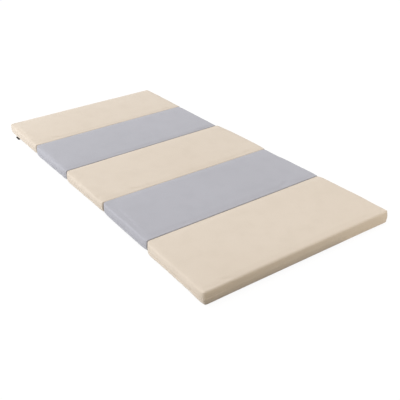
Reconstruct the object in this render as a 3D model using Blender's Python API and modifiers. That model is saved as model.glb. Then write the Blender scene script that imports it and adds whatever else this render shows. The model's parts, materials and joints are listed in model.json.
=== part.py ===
"""Baby play mat: five foam-filled pads in a leatherette cover, hinged to fold like an accordion.

The mat lies open and flat. X runs along its length from the far pad to the near one, Y across it
and Z up, in metres. The origin is on the floor under the middle of the mat. "Left" is the -Y side.
"""
import math
from collections import namedtuple

import bmesh
import bpy
from mathutils import Matrix, Vector

# Driving sizes of the whole mat
HALF_WIDTH = 0.350
THICKNESS = 0.050
SEAT_GAP = 0.0003

# Lines across the mat: its two ends and its four folds. left and right are the X where a line
# meets the left and the right side, and hinged says which edges of the pads the strip joins.
CrossLine = namedtuple("CrossLine", "name left right hinged")
CROSS_LINES = (
    CrossLine("far_end", -0.7510, -0.7560, "none"),
    CrossLine("hinge_1", -0.4495, -0.4550, "top"),
    CrossLine("hinge_2", -0.1505, -0.1600, "bottom"),
    CrossLine("hinge_3", 0.1490, 0.1520, "top"),
    CrossLine("hinge_4", 0.4450, 0.4445, "bottom"),
    CrossLine("near_end", 0.7515, 0.7545, "none"),
)

# The pads, from the far end. left_in and right_in are how far a long side lies in from the mat's
# half width (negative: out from it) at the pad's far line, halfway and at its near line. left_foot is
# the radius of the left side's bottom edge. crown is how much the top rises from its edges to its
# middle, and lift how far the foot of a wall stands off the floor between the corners.
Pad = namedtuple("Pad", "name cloth left_in right_in left_foot crown lift")
PADS = (
    Pad("panel_1", "oat", (-0.0044, -0.0038, -0.0016), (0.0058, 0.0058, 0.0068), 0.020, 0.0020, 0.0015),
    Pad("panel_2", "mist", (-0.0032, -0.0034, 0.0016), (0.0100, 0.0108, 0.0115), 0.015, 0.0018, 0.0015),
    Pad("panel_3", "oat", (-0.0009, -0.0019, 0.0024), (0.0035, -0.0004, 0.0016), 0.017, 0.0022, 0.0015),
    Pad("panel_4", "mist", (0.0025, 0.0020, 0.0038), (0.0043, 0.0048, 0.0028), 0.016, 0.0018, 0.0042),
    Pad("panel_5", "oat", (-0.0007, -0.0020, -0.0005), (0.0005, 0.0002, -0.0003), 0.013, 0.0022, 0.0018),
)

# How square the crown and the lift are along and across a pad: a high power keeps them level
# until close to the edge
CROWN_POWER_ALONG = 2.5
CROWN_POWER_ACROSS = 6
LIFT_POWER_ALONG = 6
LIFT_POWER_ACROSS = 12

# How far the foot of a pad is drawn up where a fold meets the left side
FOLD_FOOT_LIFT = 0.006

# Walls and edges of a pad. The seam is a shallow crease along each long wall. A closed fold is an
# edge that a strip joins, an open fold the edge above or below it, where the pads part.
WALL_BULGE = 0.0018
SEAM_HEIGHT = 0.025
SEAM_DEPTH = 0.0012
SEAM_HALF_WIDTH = 0.0025
WIDEST_ROUNDING = 0.020
MAT_CORNER_RADIUS = 0.010
FOLD_CORNER_RADIUS = 0.005
RIM_RADIUS = 0.008
END_TOP_RADIUS = 0.006
CLOSED_FOLD_RADIUS = 0.0025
OPEN_FOLD_TOP_RADIUS = 0.0025
OPEN_FOLD_FOOT_RADIUS = 0.008
ROUNDING_STEPS = 3

# The grid of each pad's faces
GRID_DIGITS = 5
BORDER = 0.024
COLUMNS = 6
ROWS = 12

# Strips of cover cloth sewn between the pads
STRIP_THICKNESS = 0.0014
STRIP_DEPTH = 0.012
STRIP_SINK = 0.0008
STRIP_HEAD_STEPS = 3
STRIP_END_INSET = 0.007
FOLD_GAP = STRIP_THICKNESS + 2 * SEAT_GAP

# Zip slider, neck and pull tab, lying along the foot of the far pad's left side
ZIP_PLACE = Vector((-0.6995, -0.3513, 0.0))
ZIP_EDGE = 0.0005
Stretch = namedtuple("Stretch", "length width foot top")
ZIP_STRETCHES = (
    Stretch(0.009, 0.0080, 0.0000, 0.0032),
    Stretch(0.003, 0.0040, 0.0005, 0.0018),
    Stretch(0.021, 0.0090, 0.0000, 0.0022),
)

Finish = namedtuple("Finish", "colour roughness metallic")
FINISHES = {
    "oat": Finish((0.73, 0.66, 0.56), 0.55, 0.0),
    "mist": Finish((0.46, 0.48, 0.53), 0.55, 0.0),
    "black": Finish((0.015, 0.015, 0.013), 0.40, 0.3),
}


def clear_scene():
    for thing in list(bpy.data.objects):
        bpy.data.objects.remove(thing, do_unlink=True)


def make_material(name):
    """One plain Principled material with a finish from the table."""
    finish = FINISHES[name]
    material = bpy.data.materials.new(name)
    material.use_nodes = True
    shader = material.node_tree.nodes["Principled BSDF"]
    shader.inputs["Base Color"].default_value = (*finish.colour, 1.0)
    shader.inputs["Roughness"].default_value = finish.roughness
    shader.inputs["Metallic"].default_value = finish.metallic
    material.diffuse_color = (*finish.colour, 1.0)
    return material


def mix(first, second, share):
    return first + (second - first) * share


def line_x(line, y):
    """X of a line across the mat at the given Y."""
    return mix(line.left, line.right, (y + HALF_WIDTH) / (2 * HALF_WIDTH))


def through_three(first, middle, last, u):
    """Height of the parabola through three values at -1, 0 and 1."""
    return middle + (last - first) / 2 * u + ((first + last) / 2 - middle) * u * u


def even_steps(start, end, count):
    """The values that part a stretch into count even steps, without its two ends."""
    return [mix(start, end, step / count) for step in range(1, count)]


def on_grid(point):
    """A point of the cube with its rounding errors taken off."""
    return [round(value, GRID_DIGITS) for value in point]


class PadForm:
    """A pad's form: it places the points of a cube that runs from -1 to 1 along each axis."""

    def __init__(self, pad, far_line, near_line):
        self.pad = pad
        self.far_line = far_line
        self.near_line = near_line
        self.far_gap = FOLD_GAP / 2 if far_line.hinged != "none" else 0.0
        self.near_gap = FOLD_GAP / 2 if near_line.hinged != "none" else 0.0
        self.length = near_line.left - far_line.left
        self.seam = round(2 * SEAM_HEIGHT / THICKNESS - 1, GRID_DIGITS)

    def cuts(self):
        """Cuts of the cube along its three axes."""
        side_border = 1 - 2 * BORDER / self.length
        end_border = 1 - BORDER / HALF_WIDTH
        along = [-side_border, *even_steps(-side_border, side_border, COLUMNS), side_border]
        across = [-end_border, *even_steps(-end_border, end_border, ROWS), end_border]
        half_seam = SEAM_HALF_WIDTH / (THICKNESS / 2)
        upward = [self.seam - half_seam, self.seam, self.seam + half_seam]
        return along, across, upward

    def wall_line(self, end):
        return self.far_line if end < 0 else self.near_line

    def foot_lift(self, u, v):
        """How far the foot of the wall stands off the floor: least at the pad's corners.

        Only the corners of a fold on the left side are drawn up again.
        """
        if abs(v) == 1:
            at_fold = v < 0 and abs(u) == 1 and self.wall_line(u).hinged != "none"
            return FOLD_FOOT_LIFT if at_fold else self.pad.lift * (1 - abs(u) ** LIFT_POWER_ALONG)
        if abs(u) == 1 and self.wall_line(u).hinged != "bottom":
            return self.pad.lift * (1 - abs(v) ** LIFT_POWER_ACROSS)
        return 0.0

    def height(self, u, v, w):
        if w == 1:
            rise = (1 - abs(u) ** CROWN_POWER_ALONG) * (1 - abs(v) ** CROWN_POWER_ACROSS)
            return THICKNESS - self.pad.crown * (1 - rise)
        if w == -1:
            return self.foot_lift(u, v)
        return (w + 1) / 2 * THICKNESS

    def place(self, point):
        u, v, w = on_grid(point)
        bulge = WALL_BULGE * (1 - w * w)
        left_y = through_three(*self.pad.left_in, u) - HALF_WIDTH
        right_y = HALF_WIDTH - through_three(*self.pad.right_in, u)
        y = mix(left_y, right_y, (v + 1) / 2)
        if abs(v) == 1:
            y += v * bulge
            if w == self.seam and abs(u) < 1:
                y -= v * SEAM_DEPTH
        far_x = line_x(self.far_line, y) + self.far_gap
        near_x = line_x(self.near_line, y) - self.near_gap
        x = mix(far_x, near_x, (u + 1) / 2)
        if abs(u) == 1 and self.wall_line(u).hinged == "none":
            x += u * bulge
        return Vector((x, y, self.height(u, v, w)))

    def rounding(self, ends):
        """Radius of the cube edge between two points, or zero where it is not a pad's edge."""
        (u, v, w), (other_u, other_v, other_w) = map(on_grid, ends)
        on_end = u == other_u and abs(u) == 1
        on_side = v == other_v and abs(v) == 1
        on_level = w == other_w and abs(w) == 1
        hinged = self.wall_line(u).hinged
        if on_end and on_side:
            return MAT_CORNER_RADIUS if hinged == "none" else FOLD_CORNER_RADIUS
        if on_side and on_level:
            return self.pad.left_foot if v < 0 and w < 0 else RIM_RADIUS
        if on_end and on_level:
            if hinged == "none":
                return END_TOP_RADIUS if w > 0 else RIM_RADIUS
            if hinged == ("top" if w > 0 else "bottom"):
                return CLOSED_FOLD_RADIUS
            return OPEN_FOLD_TOP_RADIUS if w > 0 else OPEN_FOLD_FOOT_RADIUS
        return 0.0


def make_pad(pad, far_line, near_line, collection):
    """A filled pad: a cube is cut into a grid, shaped by its form and rounded along its edges."""
    form = PadForm(pad, far_line, near_line)
    grid = bmesh.new()
    bmesh.ops.create_cube(grid, size=2.0)
    for axis, places in enumerate(form.cuts()):
        normal = Vector([float(axis == other) for other in range(3)])
        for place in places:
            everything = grid.verts[:] + grid.edges[:] + grid.faces[:]
            bmesh.ops.bisect_plane(grid, geom=everything, plane_co=normal * place, plane_no=normal)
    weight = grid.edges.layers.float.new("bevel_weight_edge")
    for edge in grid.edges:
        radius = form.rounding([vert.co for vert in edge.verts])
        edge[weight] = radius / WIDEST_ROUNDING
    for vert in grid.verts:
        vert.co = form.place(vert.co)
    mesh = bpy.data.meshes.new(pad.name)
    grid.to_mesh(mesh)
    grid.free()
    thing = bpy.data.objects.new(pad.name, mesh)
    collection.objects.link(thing)
    bevel = thing.modifiers.new("rounded edges", "BEVEL")
    bevel.limit_method = "WEIGHT"
    bevel.width = WIDEST_ROUNDING
    bevel.segments = ROUNDING_STEPS
    bevel.loop_slide = True
    mesh.shade_smooth()
    return thing


def strip_outline(hinged, crowns):
    """Cross-section of a strip, as (across the fold, height) points.

    It is a flat web whose head widens to fill the groove between the rounded edges of the two pads,
    a seat gap clear of them. The head lies on top, or underneath where the pads' feet are joined.
    """
    step_between = max(crowns) - min(crowns) if hinged == "top" else 0.0
    depths = [CLOSED_FOLD_RADIUS, *even_steps(CLOSED_FOLD_RADIUS, STRIP_SINK, STRIP_HEAD_STEPS), STRIP_SINK]
    right_side = [(STRIP_THICKNESS / 2, STRIP_DEPTH)]
    for depth in depths:
        above_centre = max(CLOSED_FOLD_RADIUS - depth - step_between, 0.0)
        recess = CLOSED_FOLD_RADIUS - math.sqrt(CLOSED_FOLD_RADIUS ** 2 - above_centre ** 2)
        right_side.append((STRIP_THICKNESS / 2 + recess, depth))
    outline = right_side + [(-across, depth) for across, depth in reversed(right_side)]
    if hinged == "bottom":
        return outline
    return [(across, THICKNESS - max(crowns) - depth) for across, depth in reversed(outline)]


def make_strip(line, beside, collection):
    """A strip of cover cloth along a fold: its cross-section is drawn and then extruded."""
    curve = bpy.data.curves.new(line.name, "CURVE")
    curve.dimensions = "2D"
    curve.fill_mode = "BOTH"
    far_pad, near_pad = beside
    left_y = max(far_pad.left_in[-1], near_pad.left_in[0]) - HALF_WIDTH + STRIP_END_INSET
    right_y = HALF_WIDTH - max(far_pad.right_in[-1], near_pad.right_in[0]) - STRIP_END_INSET
    left_end = Vector((line_x(line, left_y), left_y, 0.0))
    right_end = Vector((line_x(line, right_y), right_y, 0.0))
    curve.extrude = (right_end - left_end).length / 2
    points = strip_outline(line.hinged, [pad.crown for pad in beside])
    spline = curve.splines.new("POLY")
    spline.points.add(len(points) - 1)
    for point, (across, height) in zip(spline.points, points):
        point.co = (across, height, 0.0, 1.0)
    spline.use_cyclic_u = True
    thing = bpy.data.objects.new(line.name, curve)
    along = (right_end - left_end).normalized()
    up = Vector((0.0, 0.0, 1.0))
    across = up.cross(along)
    turn = Matrix((across, up, across.cross(up))).transposed()
    thing.matrix_world = Matrix.Translation((left_end + right_end) / 2) @ turn.to_4x4()
    collection.objects.link(thing)
    return thing


def make_zip_pull(collection):
    """Slider, neck and pull tab: a bar that is extruded on, each stretch with its own section."""
    bar = bmesh.new()
    bmesh.ops.create_cube(bar, size=1.0)
    first = ZIP_STRETCHES[0]
    for vert in bar.verts:
        x = first.length if vert.co.x > 0 else 0.0
        z = first.top if vert.co.z > 0 else first.foot
        vert.co = (x, math.copysign(first.width / 2, vert.co.y), z)
    for stretch in ZIP_STRETCHES[1:]:
        end = max(bar.faces, key=lambda face: face.calc_center_median().x)
        middle = end.calc_center_median().z
        root = bmesh.ops.extrude_discrete_faces(bar, faces=[end])["faces"][0]
        for vert in root.verts:
            vert.co.y = math.copysign(stretch.width / 2, vert.co.y)
            vert.co.z = stretch.top if vert.co.z > middle else stretch.foot
        tip = bmesh.ops.extrude_discrete_faces(bar, faces=[root])["faces"][0]
        for vert in tip.verts:
            vert.co.x += stretch.length
    mesh = bpy.data.meshes.new("zip_pull")
    bar.to_mesh(mesh)
    bar.free()
    thing = bpy.data.objects.new("zip_pull", mesh)
    thing.location = ZIP_PLACE
    collection.objects.link(thing)
    bevel = thing.modifiers.new("worn edges", "BEVEL")
    bevel.width = ZIP_EDGE
    bevel.segments = 2
    return thing


def main():
    clear_scene()
    collection = bpy.data.collections.new("baby_play_mat")
    bpy.context.scene.collection.children.link(collection)
    materials = {name: make_material(name) for name in FINISHES}
    for number, pad in enumerate(PADS):
        thing = make_pad(pad, CROSS_LINES[number], CROSS_LINES[number + 1], collection)
        thing.data.materials.append(materials[pad.cloth])
    for number, line in enumerate(CROSS_LINES[1:-1]):
        thing = make_strip(line, PADS[number:number + 2], collection)
        thing.data.materials.append(materials["oat"])
    make_zip_pull(collection).data.materials.append(materials["black"])


main()
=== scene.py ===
"""Looks of a folding baby play mat: five pads in matte leatherette, fold strips and a zip pull."""

import json
import math

import bmesh
import bpy
import numpy as np
from mathutils import Matrix, Vector, noise
from mathutils.kdtree import KDTree

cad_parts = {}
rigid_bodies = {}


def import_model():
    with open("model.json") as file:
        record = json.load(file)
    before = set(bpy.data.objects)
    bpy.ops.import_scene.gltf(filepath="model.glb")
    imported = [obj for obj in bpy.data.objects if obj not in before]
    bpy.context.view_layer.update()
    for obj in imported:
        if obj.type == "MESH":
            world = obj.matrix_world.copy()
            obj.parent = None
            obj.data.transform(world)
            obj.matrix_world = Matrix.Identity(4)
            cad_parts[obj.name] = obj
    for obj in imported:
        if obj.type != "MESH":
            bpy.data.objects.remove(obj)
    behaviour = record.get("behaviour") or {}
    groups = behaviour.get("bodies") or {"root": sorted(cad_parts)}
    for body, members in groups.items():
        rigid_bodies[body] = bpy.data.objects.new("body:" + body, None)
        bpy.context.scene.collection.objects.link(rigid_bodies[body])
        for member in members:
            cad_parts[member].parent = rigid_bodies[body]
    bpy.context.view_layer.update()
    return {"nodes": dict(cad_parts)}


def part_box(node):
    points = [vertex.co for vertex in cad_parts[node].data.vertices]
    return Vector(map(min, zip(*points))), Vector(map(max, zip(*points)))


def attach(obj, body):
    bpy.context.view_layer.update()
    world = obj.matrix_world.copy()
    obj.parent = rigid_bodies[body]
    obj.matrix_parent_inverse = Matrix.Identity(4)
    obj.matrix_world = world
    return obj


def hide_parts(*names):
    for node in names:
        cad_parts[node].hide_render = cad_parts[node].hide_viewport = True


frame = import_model()

# The pads from the far end. seed sets each cover's own unevenness. folds names the ends that lie at
# a fold and says how far the slit opens there and how dark its painted shade is, most where the
# strip joins the feet of the pads.
PADS = {
    "panel_1": {"cloth": "oat", "slot": "oat_cover", "seed": 3.1, "folds": {"near": 0.7}},
    "panel_2": {"cloth": "mist", "slot": "mist_cover", "seed": 11.7, "folds": {"far": 0.9, "near": 1.0}},
    "panel_3": {"cloth": "oat", "slot": "oat_cover", "seed": 23.9, "folds": {"far": 1.0, "near": 0.7}},
    "panel_4": {"cloth": "mist", "slot": "mist_cover", "seed": 37.3, "folds": {"far": 0.7, "near": 1.0}},
    "panel_5": {"cloth": "oat", "slot": "oat_cover", "seed": 41.5, "folds": {"far": 1.0}},
}

# Half the mat's nominal width, how close two points are that count as one, and the least share of
# its normal that points up on a face that counts as a top
HALF_WIDTH = 0.350
MERGE = 0.00002
FACES_UP = 0.9
SMOOTHING_LEVELS = 3

# The seam along each long side of a pad, where the top and the bottom of the cover are sewn, the
# depth and spread of its groove, which also carries painted shade, and how far above and below it
# the cover puckers
SEAM_HEIGHT = 0.025
SEAM_DEPTH = 0.0010
SEAM_SPREAD = 0.0018
SEAM_PUCKER_SPREAD = 0.009

# The upright corners of a pad beside a fold are drawn in, more at its far end than at its near
# end, and a slit opens there at the side of the mat, with painted shade deep in it. SLIT_FACING
# says from which share of its normal the cover faces the slit and takes that painted shade, and
# the painted shade fades out between the two heights of SLIT_TOP.
CORNER_DRAWN_IN = {"far": 0.0040, "near": 0.0008}
CORNER_REACH = 0.016
SLIT_REACH = 0.022
SLIT_FACING = (0.45, 0.85)
SLIT_TOP = (0.024, 0.047)

# Unevenness of the covers: how far it goes in or out, how often it changes along a metre, and what
# it adds to the seed of its cover. FACING says from which share of its normal the cover belongs to
# the top or to a wall. What points down by more than UNDERSIDE stays flat.
TOP_WAVES = (0.0005, 6.0, 0.0)
TOP_DIMPLES = (0.00016, 26.0, 5.0)
WALL_WAVES = (0.0005, 11.0, 9.0)
RIM_PUCKERS = (0.00035, 55.0, 13.0)
SEAM_PUCKERS = (0.00045, 75.0, 17.0)
FACING = (0.5, 0.95)
UNDERSIDE = -0.3
CALM_BESIDE_FOLD = 0.012

# The cloth simulation of the covers: the voxel of the copies that are simulated, how much longer
# than the pad the cover is cut, the most that a point of the cover moves, and how many of the
# copy's points each point of the pad follows
VOXEL = 0.005
COVER_SLACK = 0.012
COVER_PRESSURE = 1.2
COVER_FRAMES = 20
COVER_CAP = 0.0016
PINNED_BELOW = 0.004
STILL_BESIDE_FOLD = (0.003, 0.030)
POINTS_FOLLOWED = 6


class Value:
    """A socket's value in shader maths: an expression on values adds its Math nodes."""

    def __init__(self, finish, socket):
        self.finish = finish
        self.socket = socket

    def maths(self, operation, first, second):
        return self.finish.node("ShaderNodeMath", {"operation": operation}, {0: first, 1: second})

    def __add__(self, other):
        return self.maths("ADD", self, other)

    __radd__ = __add__

    def __mul__(self, other):
        return self.maths("MULTIPLY", self, other)

    def __sub__(self, other):
        return self.maths("SUBTRACT", self, other)

    def __rsub__(self, other):
        return self.maths("SUBTRACT", other, self)


class Finish:
    """A material, or the sky, that is made node by node around its shader."""

    def __init__(self, owner, constants, shader="Principled BSDF"):
        self.material = owner
        owner.use_nodes = True
        self.tree = owner.node_tree
        self.shader = self.tree.nodes[shader]
        for socket, value in constants.items():
            self.shader.inputs[socket].default_value = value

    def node(self, kind, settings, sockets, output=0):
        """Adds a node with its settings, then its sockets' values or links, and gives one output."""
        made = self.tree.nodes.new(kind)
        for setting, value in settings.items():
            setattr(made, setting, value)
        for socket, value in sockets.items():
            if isinstance(value, Value):
                self.tree.links.new(value.socket, made.inputs[socket])
            else:
                made.inputs[socket].default_value = value
        return Value(self, made.outputs[output])

    def feed(self, socket, value):
        self.tree.links.new(value.socket, self.shader.inputs[socket])

    def place(self):
        """Where a point of the surface lies, in the object's own metres."""
        return self.node("ShaderNodeTexCoord", {}, {}, "Object")

    def attribute(self, name):
        """A value that the points of the piece carry."""
        return self.node("ShaderNodeAttribute", {"attribute_name": name}, {}, "Fac")

    def blend(self, share, first, second):
        """A colour between two colours."""
        return self.node("ShaderNodeMix", {"data_type": "RGBA"}, {0: share, 6: first, 7: second}, 2)

    def clouds(self, place, scale, detail, output="Fac"):
        """Soft noise from 0 to 1."""
        sockets = {"Vector": place, "Scale": scale, "Detail": detail}
        return self.node("ShaderNodeTexNoise", {}, sockets, output)

    def drifted(self, place, scale, distance):
        """The place, shifted by soft noise, so that a pattern on it runs uneven."""
        wobble = self.clouds(place, scale, 1.0, "Color")
        drift = self.node("ShaderNodeVectorMath", {"operation": "SCALE"}, {0: wobble, "Scale": distance})
        return self.node("ShaderNodeVectorMath", {"operation": "ADD"}, {0: place, 1: drift})

    def stretch(self, value, low, high, to_low=0.0, to_high=1.0):
        """The value's stretch from low to high, eased and laid over another stretch."""
        settings = {"interpolation_type": "SMOOTHSTEP"}
        sockets = {"Value": value, "From Min": low, "From Max": high, "To Min": to_low, "To Max": to_high}
        return self.node("ShaderNodeMapRange", settings, sockets, "Result")

    def emboss(self, relief, strength, depth):
        """Lets the light see the relief."""
        sockets = {"Strength": strength, "Distance": depth, "Height": relief}
        self.feed("Normal", self.node("ShaderNodeBump", {}, sockets))


def opaque(colour):
    return (*colour, 1.0)


# The two cloths of the covers: the base colour, the darker tone that patches and the grain take
# and that painted shade in creases and slits and painted shade with some dirt along the foot turn
# it to, and the paler tint that it drifts to
CLOTHS = {
    "oat": ((0.715, 0.622, 0.523), (0.50, 0.42, 0.33), (0.735, 0.645, 0.548)),
    "mist": ((0.441, 0.443, 0.491), (0.30, 0.30, 0.34), (0.456, 0.457, 0.509)),
}

# The pattern of the leatherette: how often pebbles, noises and patches come along a metre, and the
# height that the painted shade and dirt along the foot reach. A drift is given by its scale and its
# distance, a relief by its strength and depth, and a range is the stretch of the noise that is used.
PEBBLE_SCALE = 720.0
PEBBLE_EDGE = 0.22
PEBBLE_DRIFT = (420.0, 0.0009)
FINE_SCALE = 2600.0
BROAD_SCALE = 2.6
PATCH_SCALE = 17.0
FOOT_SHADE_AND_DIRT_HEIGHT = 0.014
BROAD_RANGE = (0.3, 0.7)
PATCH_RANGE = (0.4, 0.8)
FOOT_SHADE_AND_DIRT_RANGE = (0.35, 0.75)
LEAST_FOOT_SHADE_AND_DIRT = 0.4
PEBBLE_RELIEF = 0.7
FINE_RELIEF = 0.3
COVER_RELIEF = (0.35, 0.00025)

# How far each mark turns the leatherette's colour. The crease, foot and slit marks are painted
# shade, the foot's with some dirt, and the painted shade deep in a slit is darker than the dark tone.
TINT_SHARE = 0.8
PATCH_SHARE = 0.10
GROOVE_SHARE = 0.16
CREASE_SHADE_SHARE = 0.22
FOOT_SHADE_AND_DIRT_SHARE = 0.32
SLIT_SHADE_SHARE = 0.65
SLIT_SHADE_TONE = 0.55

# The leatherette's roughness, what patches add to it, and what pebbles and rubbed rims take off
COVER_ROUGHNESS = 0.46
PATCH_ROUGHNESS = 0.10
PEBBLE_POLISH = 0.03
RIM_POLISH = 0.05


def make_leatherette(name, base, dark, tint):
    """Matte leatherette: a fine pebbled grain, cloudy tone, and painted shade in creases, in slits and
    low down, where some dirt is mixed in.
    """
    finish = Finish(bpy.data.materials.new(name), {"IOR": 1.46, "Specular IOR Level": 0.42})
    place = finish.place()
    cells = finish.node(
        "ShaderNodeTexVoronoi",
        {"feature": "DISTANCE_TO_EDGE"},
        {"Vector": finish.drifted(place, *PEBBLE_DRIFT), "Scale": PEBBLE_SCALE},
        "Distance",
    )
    pebbles = finish.stretch(cells, 0.0, PEBBLE_EDGE)
    fine = finish.clouds(place, FINE_SCALE, 1.0)
    broad = finish.clouds(place, BROAD_SCALE, 2.0)
    patches = finish.clouds(place, PATCH_SCALE, 3.0)
    height = finish.node("ShaderNodeSeparateXYZ", {}, {0: place}, 2)
    # Painted shade with some dirt near the floor, darker towards the foot and patchy
    near_floor = finish.stretch(height, 0.0, FOOT_SHADE_AND_DIRT_HEIGHT, 1.0, 0.0)
    foot_shade_and_dirt = near_floor * finish.stretch(patches, *FOOT_SHADE_AND_DIRT_RANGE, LEAST_FOOT_SHADE_AND_DIRT, 1.0)
    # Painted shade in the seam groove and on the strip heads in the folds
    crease = finish.attribute("crease")
    rim = finish.attribute("rim")
    # Painted shade deep in the slits at the folds
    slit = finish.attribute("slit")
    grain_dirt_and_shade = (1 - pebbles) * GROOVE_SHARE + crease * CREASE_SHADE_SHARE + foot_shade_and_dirt * FOOT_SHADE_AND_DIRT_SHARE
    # The colour of the darkest painted shade, deep in a slit
    slit_shade_colour = tuple(part * SLIT_SHADE_TONE for part in dark)
    colour = finish.blend(finish.stretch(broad, *BROAD_RANGE) * TINT_SHARE, opaque(base), opaque(tint))
    colour = finish.blend(finish.stretch(patches, *PATCH_RANGE) * PATCH_SHARE, colour, opaque(dark))
    colour = finish.blend(grain_dirt_and_shade, colour, opaque(dark))
    finish.feed("Base Color", finish.blend(slit * SLIT_SHADE_SHARE, colour, opaque(slit_shade_colour)))
    roughness = COVER_ROUGHNESS + patches * PATCH_ROUGHNESS
    finish.feed("Roughness", roughness - rim * RIM_POLISH - pebbles * PEBBLE_POLISH)
    finish.emboss(pebbles * PEBBLE_RELIEF + fine * FINE_RELIEF, *COVER_RELIEF)
    return finish.material


# The lacquer of the zip pull, and its tone where the metal shows through. Wear comes from rims and
# scuffs, each with its share, and WORN_RANGE is the stretch of their sum from none to most.
LACQUER = (0.012, 0.012, 0.010)
WORN_LACQUER = (0.11, 0.11, 0.10)
RIM_WEAR = 0.7
SCUFF_WEAR = 0.6
WORN_RANGE = (0.62, 0.95)
MOST_WORN = 0.5
SCUFF_SCALE = 900.0
SCUFF_ROUGHNESS = 0.16
ZIP_ROUGHNESS = 0.34
ZIP_RELIEF = (0.2, 0.0001)


def make_zip_finish(name):
    """Dark lacquer over metal, worn thin along its edges."""
    finish = Finish(bpy.data.materials.new(name), {"Metallic": 0.25, "Specular IOR Level": 0.5})
    scuffs = finish.clouds(finish.place(), SCUFF_SCALE, 3.0)
    wear = finish.attribute("rim") * RIM_WEAR + scuffs * SCUFF_WEAR
    worn = finish.stretch(wear, *WORN_RANGE) * MOST_WORN
    finish.feed("Base Color", finish.blend(worn, opaque(LACQUER), opaque(WORN_LACQUER)))
    finish.feed("Roughness", ZIP_ROUGHNESS + scuffs * SCUFF_ROUGHNESS)
    finish.emboss(scuffs, *ZIP_RELIEF)
    return finish.material


def only(piece):
    """Leaves one piece selected and active, in object mode."""
    for other in bpy.context.view_layer.objects:
        other.select_set(False)
    piece.select_set(True)
    bpy.context.view_layer.objects.active = piece


def shade(piece, material, sharp_from=180.0):
    """Gives a piece its material and smooth shading, up to the angle from which edges stay sharp."""
    only(piece)
    piece.data.materials.clear()
    piece.data.materials.append(material)
    if sharp_from < 180.0:
        bpy.ops.object.shade_smooth_by_angle(angle=math.radians(sharp_from))
    else:
        bpy.ops.object.shade_smooth()


def apply_transform():
    bpy.ops.object.transform_apply(location=True, rotation=True, scale=True)


def smooth_surface(piece, name, levels):
    """Subdivides the piece, which is the active one."""
    smooth = piece.modifiers.new(name, "SUBSURF")
    smooth.levels = smooth.render_levels = levels
    bpy.ops.object.modifier_apply(modifier=smooth.name)


def select_faces_on_top(piece, top):
    """In edit mode, selects the faces that lie at the height of the top and face up."""
    bpy.context.tool_settings.mesh_select_mode = (False, False, True)
    form = bmesh.from_edit_mesh(piece.data)
    for face in form.faces:
        face.select_set(face.normal.z > FACES_UP and face.calc_center_median().z > top - MERGE)
    form.select_flush_mode()
    bmesh.update_edit_mesh(piece.data)


def select_edges(piece, wanted):
    """In edit mode, selects the edges whose two ends meet a rule."""
    form = bmesh.from_edit_mesh(piece.data)
    for part in [*form.verts, *form.edges, *form.faces]:
        part.select_set(False)
    for edge in form.edges:
        first, second = (vert.co for vert in edge.verts)
        if wanted(first, second):
            edge.select_set(True)
    bmesh.update_edit_mesh(piece.data)


def read_rows(values, field):
    """A field of three numbers of each of a mesh's values, one row each."""
    rows = np.empty(len(values) * 3, np.float32)
    values.foreach_get(field, rows)
    return rows.reshape(-1, 3).astype(float)


def read_points(mesh):
    return read_rows(mesh.vertices, "co")


def read_normals(mesh):
    return read_rows(mesh.vertex_normals, "vector")


def move_points(mesh, points):
    mesh.vertices.foreach_set("co", points.astype(np.float32).ravel())
    mesh.update()


def put_attributes(mesh, **attributes):
    """Lets the points of a mesh carry values that its material reads."""
    for name, values in attributes.items():
        layer = mesh.attributes.new(name, "FLOAT", "POINT")
        layer.data.foreach_set("value", values.astype(np.float32))


def eased(values, low, high):
    """0 below low, 1 above high and a soft step between them."""
    share = np.clip((values - low) / (high - low), 0.0, 1.0)
    return share * share * (3.0 - 2.0 * share)


def ripple(points, often, seed):
    """Smooth noise from about -1 to 1 at each point."""
    shifted = points * often + seed
    return np.array([noise.noise(Vector(point)) for point in shifted])


def unevenness(points, kind, seed=0.0):
    """How far waves or puckers of one kind push each point out."""
    distance, often, own_seed = kind
    return distance * ripple(points, often, seed + own_seed)


def rim_share(normals):
    """How much each normal turns between two faces: 0 on a flat face, 1 halfway round an edge."""
    return np.clip((1.0 - np.abs(normals).max(axis=1)) / (1.0 - math.sqrt(0.5)), 0.0, 1.0)


def from_nearer_end(points):
    """How far each point of a pad lies from the nearer of its two ends."""
    along = points[:, 0]
    return np.minimum(along - along.min(), along.max() - along)


def draw_in_corners(points, normals, folds):
    """Draws in the upright corners beside the folds, and gives each point's painted shade deep in a slit.
    """
    slit = np.zeros(len(points))
    for end, opening in folds.items():
        inwards = 1.0 if end == "far" else -1.0
        for side in (-1.0, 1.0):
            out = points[:, 1] * side
            corner = out > out.max() - CORNER_REACH
            from_end = (points[:, 0] - (points[corner, 0] * inwards).min() * inwards) * inwards
            from_wall = out[from_end < CORNER_REACH].max() - out
            share = eased(CORNER_REACH - from_end, 0.0, CORNER_REACH)
            share = share * eased(CORNER_REACH - from_wall, 0.0, CORNER_REACH)
            faces_slit = eased(-normals[:, 0] * inwards, *SLIT_FACING)
            faces_slit = faces_slit * (1.0 - eased(points[:, 2], *SLIT_TOP))
            deep = faces_slit * eased(SLIT_REACH - from_wall, 0.0, SLIT_REACH / 2)
            slit = np.maximum(slit, deep * opening)
            points[:, 0] += inwards * CORNER_DRAWN_IN[end] * opening * share
            points[:, 1] -= side * CORNER_DRAWN_IN[end] * opening * share
    return slit


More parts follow.
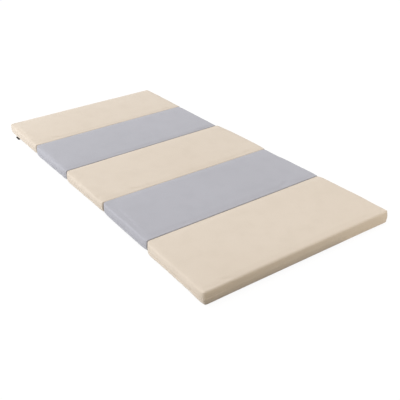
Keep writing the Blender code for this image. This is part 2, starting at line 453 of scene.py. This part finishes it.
def uneven_cover(mesh, seed, folds):
    """Moves the cover's points a little, as a sewn cover sits over foam, and marks rims and the painted
    shade of the seam and the slits.
    """
    points = read_points(mesh)
    normals = read_normals(mesh)
    slit = draw_in_corners(points, normals, folds)
    calm = eased(from_nearer_end(points), 0.0, CALM_BESIDE_FOLD)
    top = eased(normals[:, 2], *FACING)
    wall = eased(np.abs(normals[:, 1]), *FACING)
    rims = rim_share(normals) * (normals[:, 2] > 0.0)
    from_seam = points[:, 2] - SEAM_HEIGHT
    seam = np.exp(-((from_seam / SEAM_SPREAD) ** 2)) * wall * calm
    beside_seam = np.exp(-((from_seam / SEAM_PUCKER_SPREAD) ** 2)) * wall
    out = unevenness(points, TOP_WAVES, seed) * top
    out += unevenness(points, TOP_DIMPLES, seed) * top
    out += unevenness(points, WALL_WAVES, seed) * wall
    out += unevenness(points, RIM_PUCKERS, seed) * rims
    out += unevenness(points, SEAM_PUCKERS, seed) * beside_seam
    out = out * calm - SEAM_DEPTH * seam
    out[normals[:, 2] < UNDERSIDE] = 0.0
    move_points(mesh, points + normals * out[:, None])
    # The painted shade of the seam groove and of the slits goes to the material, with the rims
    put_attributes(mesh, crease=seam, rim=rims, slit=slit)


def start_cover(pad):
    """A voxel-remeshed copy of a pad as a slack cloth cover under pressure, pinned along its foot."""
    cover = pad.copy()
    cover.data = pad.data.copy()
    cover.name = f"cover_of_{pad.name}"
    bpy.context.scene.collection.objects.link(cover)
    only(cover)
    cover.data.remesh_voxel_size = VOXEL
    bpy.ops.object.voxel_remesh()
    pinned = cover.vertex_groups.new(name="pinned")
    low = [vert.index for vert in cover.data.vertices if vert.co.z < PINNED_BELOW]
    pinned.add(low, 1.0, "REPLACE")
    cloth = cover.modifiers.new("cover", "CLOTH")
    cloth.settings.vertex_group_mass = pinned.name
    cloth.settings.use_pressure = True
    cloth.settings.uniform_pressure_force = COVER_PRESSURE
    cloth.settings.shrink_min = -COVER_SLACK
    cloth.settings.effector_weights.gravity = 0.0
    cloth.point_cache.frame_end = COVER_FRAMES
    return cover


def follow_cover(points, start, moved):
    """The points of a pad after each has followed its nearest points of the cover, capped softly."""
    tree = KDTree(len(start))
    for number, point in enumerate(start):
        tree.insert(point, number)
    tree.balance()
    followed = points.copy()
    for point in followed:
        near = tree.find_n(point, POINTS_FOLLOWED)
        shares = np.array([1.0 / (distance + VOXEL / 4) for _, _, distance in near])
        moves = moved[[number for _, number, _ in near]]
        move = (moves * shares[:, None]).sum(axis=0) / shares.sum()
        length = max(np.linalg.norm(move), MERGE)
        point += move * math.tanh(length / COVER_CAP) * COVER_CAP / length
    return followed


def settle_covers(pads):
    """Runs the cloth simulation and lays each cover's capped movement over its pad."""
    covers = [start_cover(pad) for pad in pads]
    rest = [read_points(cover.data) for cover in covers]
    for number in range(1, COVER_FRAMES + 1):
        bpy.context.scene.frame_set(number)
    depsgraph = bpy.context.evaluated_depsgraph_get()
    for pad, cover, start in zip(pads, covers, rest):
        moved = read_points(cover.evaluated_get(depsgraph).data) - start
        points = read_points(pad.data)
        share = eased(from_nearer_end(points), *STILL_BESIDE_FOLD)
        share = share * eased(points[:, 2], 0.0, PINNED_BELOW)
        points += (follow_cover(points, start, moved) - points) * share[:, None]
        move_points(pad.data, points)
        bpy.data.objects.remove(cover, do_unlink=True)
    bpy.context.scene.frame_set(1)


def smooth_pad(name):
    """The CAD pad's own form in smooth quads, as a new object."""
    pad = bpy.data.objects.new(f"pad_{name[-1]}", frame["nodes"][name].data.copy())
    bpy.context.scene.collection.objects.link(pad)
    only(pad)
    bpy.ops.mesh.customdata_custom_splitnormals_clear()
    bpy.ops.object.mode_set(mode="EDIT")
    bpy.ops.mesh.select_all(action="SELECT")
    bpy.ops.mesh.remove_doubles(threshold=MERGE)
    bpy.ops.mesh.tris_convert_to_quads()
    bpy.ops.object.mode_set(mode="OBJECT")
    smooth_surface(pad, "smooth form", SMOOTHING_LEVELS)
    return pad


def make_pads(materials):
    """The padded pieces, in the space of the CAD pads."""
    pads = {name: smooth_pad(name) for name in PADS}
    settle_covers(list(pads.values()))
    for name, facts in PADS.items():
        pad = pads[name]
        uneven_cover(pad.data, facts["seed"], facts["folds"])
        shade(pad, materials[facts["cloth"]])
        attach(pad, "root")
        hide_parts(name)


# The strips of cover cloth sewn into the folds: the X of a fold at the left and the right side of
# the mat, and whether it joins the tops or the feet of its pads
STRIPS = {
    "hinge_1": (-0.4495, -0.4550, "top"),
    "hinge_2": (-0.1505, -0.1600, "bottom"),
    "hinge_3": (0.1490, 0.1520, "top"),
    "hinge_4": (0.4450, 0.4445, "bottom"),
}

# A strip's web, and its head, which widens by HEAD_WIDTHS step by step. HEAD_FROM is the share of
# the web's height from which the cloth counts as head, and the value after it says how much
# painted shade the head takes.
WEB_THICKNESS = 0.0014
WEB_STEPS = 3
HEAD_DEPTH = 0.0017
HEAD_WIDTHS = (1.10, 1.16, 1.22, 1.24)
HEAD_FROM = 0.9
HEAD_SHADE = 0.5
STITCH_STEPS = 140
STRIP_WAVES = (0.00010, 60.0, 2.0)
HEAD_PUCKERS = (0.00022, 140.0, 7.0)


def fold_point(left_x, right_x, y):
    """Where a fold that runs from side to side of the mat crosses Y."""
    return Vector((left_x + (right_x - left_x) * (y + HALF_WIDTH) / (2 * HALF_WIDTH), y, 0.0))


def model_strip(name, length, web):
    """A strip that lies along Y and stands on the floor, with its head on top of its web."""
    bpy.ops.mesh.primitive_cube_add(size=1.0, location=(0.0, 0.0, web / 2))
    strip = bpy.context.object
    strip.name = name
    strip.scale = (WEB_THICKNESS, length, web)
    apply_transform()
    bpy.ops.object.mode_set(mode="EDIT")
    select_edges(strip, lambda first, second: abs(first.y - second.y) > length / 2)
    bpy.ops.mesh.subdivide(number_cuts=STITCH_STEPS)
    select_edges(strip, lambda first, second: abs(first.z - second.z) > web / 2)
    bpy.ops.mesh.subdivide(number_cuts=WEB_STEPS)
    step = HEAD_DEPTH / len(HEAD_WIDTHS)
    for number, widen in enumerate(HEAD_WIDTHS):
        select_faces_on_top(strip, web + step * number)
        bpy.ops.mesh.extrude_region_move(TRANSFORM_OT_translate={"value": (0.0, 0.0, step)})
        bpy.ops.transform.resize(value=(widen, 1.0, 1.0))
    bpy.ops.object.mode_set(mode="OBJECT")
    return strip


def pucker_strip(mesh, start, web, up):
    """Lets the strip wave a little and its head pucker. start is the height that its web begins at."""
    points = read_points(mesh)
    head = eased(np.abs(points[:, 2] - start), web * HEAD_FROM, web + HEAD_DEPTH)
    points[:, 0] += unevenness(points, STRIP_WAVES)
    depth, often, seed = HEAD_PUCKERS
    points[:, 2] -= up * depth * head * (1.0 + ripple(points, often, seed))
    move_points(mesh, points)
    # Painted shade on the strip's head, which lies in the groove between the pads, and on its web deep in
    # the slits at the sides
    slit = eased(np.abs(points[:, 1]), HALF_WIDTH - SLIT_REACH, HALF_WIDTH) * (1.0 - head)
    put_attributes(mesh, crease=head * HEAD_SHADE, rim=np.zeros(len(points)), slit=slit)


def make_strip(name, material):
    """A strip of leatherette in a fold: a flat web whose head fills the groove between the pads."""
    left_x, right_x, joins = STRIPS[name]
    low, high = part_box(name)
    left = fold_point(left_x, right_x, low.y)
    right = fold_point(left_x, right_x, high.y)
    web = high.z - low.z - HEAD_DEPTH
    strip = model_strip(f"fold_strip_{name[-1]}", (right - left).length, web)
    up = Vector((0.0, 0.0, 1.0 if joins == "top" else -1.0))
    start = low.z if joins == "top" else high.z
    along = (right - left).normalized()
    turn = Matrix((along.cross(up), along, up)).transposed()
    place = (left + right) / 2 + Vector((0.0, 0.0, start))
    strip.matrix_world = Matrix.Translation(place) @ turn.to_4x4()
    only(strip)
    apply_transform()
    smooth_surface(strip, "smooth cloth", 1)
    pucker_strip(strip.data, start, web, up.z)
    shade(strip, material)
    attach(strip, "root")
    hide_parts(name)


# The zip pull, which points along +X: the slider, the bridge on it that holds the tab, the neck
# between slider and tab, and the tab. The bridge is sunk into the slider, and the neck's middle
# lies NECK_PAST_SLIDER past the slider. The tab's recess lies inside a frame, with a slope around it.
ZIP_START = Vector((-0.6995, -0.3513, 0.0))
SLIDER = Vector((0.0090, 0.0080, 0.0030))
SLIDER_EDGE = 0.0009
BRIDGE = Vector((0.0070, 0.0032, 0.0010))
BRIDGE_EDGE = 0.00045
BRIDGE_SUNK = 0.0004
NECK = Vector((0.0050, 0.0034, 0.0012))
NECK_EDGE = 0.0004
NECK_PAST_SLIDER = 0.0014
NECK_HEIGHT = 0.0006
TAB = Vector((0.0215, 0.0090, 0.0021))
TAB_START = 0.0118
TAB_CORNER = 0.0024
TAB_EDGE = 0.0005
TAB_FRAME = 0.0012
TAB_RECESS_SLOPE = 0.0003
TAB_RECESS = 0.0004
EDGE_STEPS = 3
CORNER_STEPS = 5
ZIP_SHARP_FROM = 40.0


def start_block(size, along, up=0.0):
    """A block whose foot's middle lies along and up from the start of the zip pull, in edit mode."""
    place = ZIP_START + Vector((along, 0.0, up))
    bpy.ops.mesh.primitive_cube_add(size=1.0, location=place + Vector((0.0, 0.0, size.z / 2)))
    block = bpy.context.object
    block.scale = size
    apply_transform()
    bpy.ops.object.mode_set(mode="EDIT")
    return block


def make_block(size, edge, along, up=0.0):
    """A block with rounded edges."""
    block = start_block(size, along, up)
    bpy.ops.mesh.select_all(action="SELECT")
    bpy.ops.mesh.bevel(offset=edge, segments=EDGE_STEPS, affect="EDGES")
    bpy.ops.object.mode_set(mode="OBJECT")
    return block


def make_tab():
    """The pull tab: a plate with round corners and a recess on its top."""
    tab = start_block(TAB, TAB_START + TAB.x / 2)
    select_edges(tab, lambda first, second: abs(first.z - second.z) > TAB.z / 2)
    bpy.ops.mesh.bevel(offset=TAB_CORNER, segments=CORNER_STEPS, affect="EDGES")
    select_edges(tab, lambda first, second: abs(first.z - second.z) < TAB.z / 2)
    bpy.ops.mesh.bevel(offset=TAB_EDGE, segments=EDGE_STEPS, affect="EDGES")
    select_faces_on_top(tab, TAB.z)
    bpy.ops.mesh.inset(thickness=TAB_FRAME, depth=0.0)
    bpy.ops.mesh.inset(thickness=TAB_RECESS_SLOPE, depth=-TAB_RECESS)
    bpy.ops.object.mode_set(mode="OBJECT")
    return tab


def make_zip_pull(material):
    """The slider, bridge, neck and tab as one piece."""
    slider = make_block(SLIDER, SLIDER_EDGE, SLIDER.x / 2)
    bridge = make_block(BRIDGE, BRIDGE_EDGE, SLIDER.x / 2, SLIDER.z - BRIDGE_SUNK)
    neck = make_block(NECK, NECK_EDGE, SLIDER.x + NECK_PAST_SLIDER, NECK_HEIGHT)
    tab = make_tab()
    only(slider)
    for other in (bridge, neck, tab):
        other.select_set(True)
    bpy.ops.object.join()
    slider.name = "zip_slider_and_tab"
    put_attributes(slider.data, rim=rim_share(read_normals(slider.data)))
    shade(slider, material, ZIP_SHARP_FROM)
    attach(slider, "root")
    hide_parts("zip_pull")


# The camera of the photograph, in the part's own frame
CAMERA_PLACE = Vector((1.80855, -1.02994, 1.02214))
CAMERA_RIGHT = Vector((0.5595, 0.8279, -0.0391))
CAMERA_BACK = Vector((0.7346, -0.4735, 0.4860))
CAMERA_LENS = 54.68
CAMERA_SENSOR = 36.0


def make_camera():
    right = CAMERA_RIGHT.normalized()
    up = CAMERA_BACK.cross(right).normalized()
    back = right.cross(up)
    data = bpy.data.cameras.new("camera")
    data.sensor_width = CAMERA_SENSOR
    data.lens = CAMERA_LENS
    camera = bpy.data.objects.new("camera", data)
    bpy.context.scene.collection.objects.link(camera)
    turn = Matrix((right, up, back)).transposed()
    camera.matrix_world = Matrix.Translation(CAMERA_PLACE) @ turn.to_4x4()
    bpy.context.scene.camera = camera


# Studio lights. The key is soft and even. Each lamp is given by its place, the point that it is
# aimed at, its side lengths, its power and its colour. The sky is darker towards +X.
KEY_FROM = Vector((-0.10, -0.56, 0.83))
KEY_DISTANCE = 3.0
KEY_POWER = 1.00
KEY_SPREAD = 40.0
LAMPS = {
    "far_left": ((-1.5, -1.5, 0.95), (-0.7, -0.35, 0.0), (0.8, 0.8), 8.5, (0.88, 0.94, 1.0)),
    "near_right": ((1.5, 0.95, 0.24), (0.76, 0.30, 0.02), (0.5, 0.35), 3.7, (1.0, 0.98, 0.94)),
}
SKY_BRIGHT = (1.15, 1.15, 1.15)
SKY_DARK = (0.30, 0.27, 0.22)

# The floor that the camera sees, and what throws light back on the mat from below it: a pale
# sheet, a darker card before the near end, which keeps that end in shade, and a nearly black
# strip at the left part of that end's foot, where the photograph is darkest
FLOOR_SIZE = (30.0, 30.0)
FLOOR_PLACE = Vector((0.0, 0.0, 0.0))
FLOOR_COLOUR = (0.10, 0.10, 0.10)
FLOOR_GLOW = 0.92
SHEET_PLACE = Vector((0.0, 0.0, -0.0010))
SHEET_COLOUR = (0.86, 0.86, 0.86)
CARD_SIZE = (1.6, 2.2)
CARD_PLACE = Vector((1.562, -0.64, -0.0005))
CARD_COLOUR = (0.45, 0.37, 0.23)
FOOT_CARD_SIZE = (0.030, 0.6)
FOOT_CARD_PLACE = Vector((0.768, -0.15, -0.0002))
FOOT_CARD_COLOUR = (0.05, 0.04, 0.03)


def add_light(data, place, aim):
    light = bpy.data.objects.new(data.name, data)
    light.location = place
    light.rotation_euler = (Vector(place) - Vector(aim)).to_track_quat("Z", "Y").to_euler()
    light.visible_camera = False
    bpy.context.scene.collection.objects.link(light)


def make_sky():
    """A pale studio sky."""
    sky = Finish(bpy.data.worlds.new("pale studio"), {"Strength": 1.0}, "Background")
    direction = sky.node("ShaderNodeTexCoord", {}, {}, "Generated")
    towards_near_end = sky.node("ShaderNodeSeparateXYZ", {}, {0: direction}) * 0.5 + 0.5
    sky.feed("Color", sky.blend(towards_near_end, opaque(SKY_BRIGHT), opaque(SKY_DARK)))
    bpy.context.scene.world = sky.material


def make_lights():
    key = bpy.data.lights.new("key", "SUN")
    key.energy = KEY_POWER
    key.angle = math.radians(KEY_SPREAD)
    add_light(key, KEY_FROM * KEY_DISTANCE, (0.0, 0.0, 0.0))
    for name, (place, aim, sides, power, colour) in LAMPS.items():
        lamp = bpy.data.lights.new(name, "AREA")
        lamp.shape = "RECTANGLE"
        lamp.size, lamp.size_y = sides
        lamp.energy = power
        lamp.color = colour
        add_light(lamp, place, aim)
    bpy.context.scene.view_settings.view_transform = "Standard"


def make_plane(name, sides, place, colour, glow=0.0):
    """A matte plane of the studio, which may give light of its own."""
    bpy.ops.mesh.primitive_plane_add(size=1.0, location=place)
    plane = bpy.context.object
    plane.name = name
    plane.scale = (*sides, 1.0)
    constants = {
        "Base Color": opaque(colour),
        "Roughness": 0.9,
        "Specular IOR Level": 0.0,
        "Emission Color": opaque((1.0, 1.0, 1.0)),
        "Emission Strength": glow,
    }
    plane.data.materials.append(Finish(bpy.data.materials.new(name), constants).material)
    return plane


def make_floor():
    floor = make_plane("studio_floor", FLOOR_SIZE, FLOOR_PLACE, FLOOR_COLOUR, FLOOR_GLOW)
    floor.visible_diffuse = False
    floor.visible_shadow = False
    sheet = make_plane("bounce_sheet", FLOOR_SIZE, SHEET_PLACE, SHEET_COLOUR)
    card = make_plane("shade_card", CARD_SIZE, CARD_PLACE, CARD_COLOUR)
    foot_card = make_plane("foot_card", FOOT_CARD_SIZE, FOOT_CARD_PLACE, FOOT_CARD_COLOUR)
    for below in (sheet, card, foot_card):
        below.visible_camera = False
        below.visible_glossy = False


make_camera()
make_sky()
make_lights()
make_floor()
covers = {}
for cloth, colours in CLOTHS.items():
    covers[cloth] = make_leatherette(f"{cloth} leatherette", *colours)
make_pads(covers)
for name in STRIPS:
    make_strip(name, covers["oat"])
make_zip_pull(make_zip_finish("black zip"))
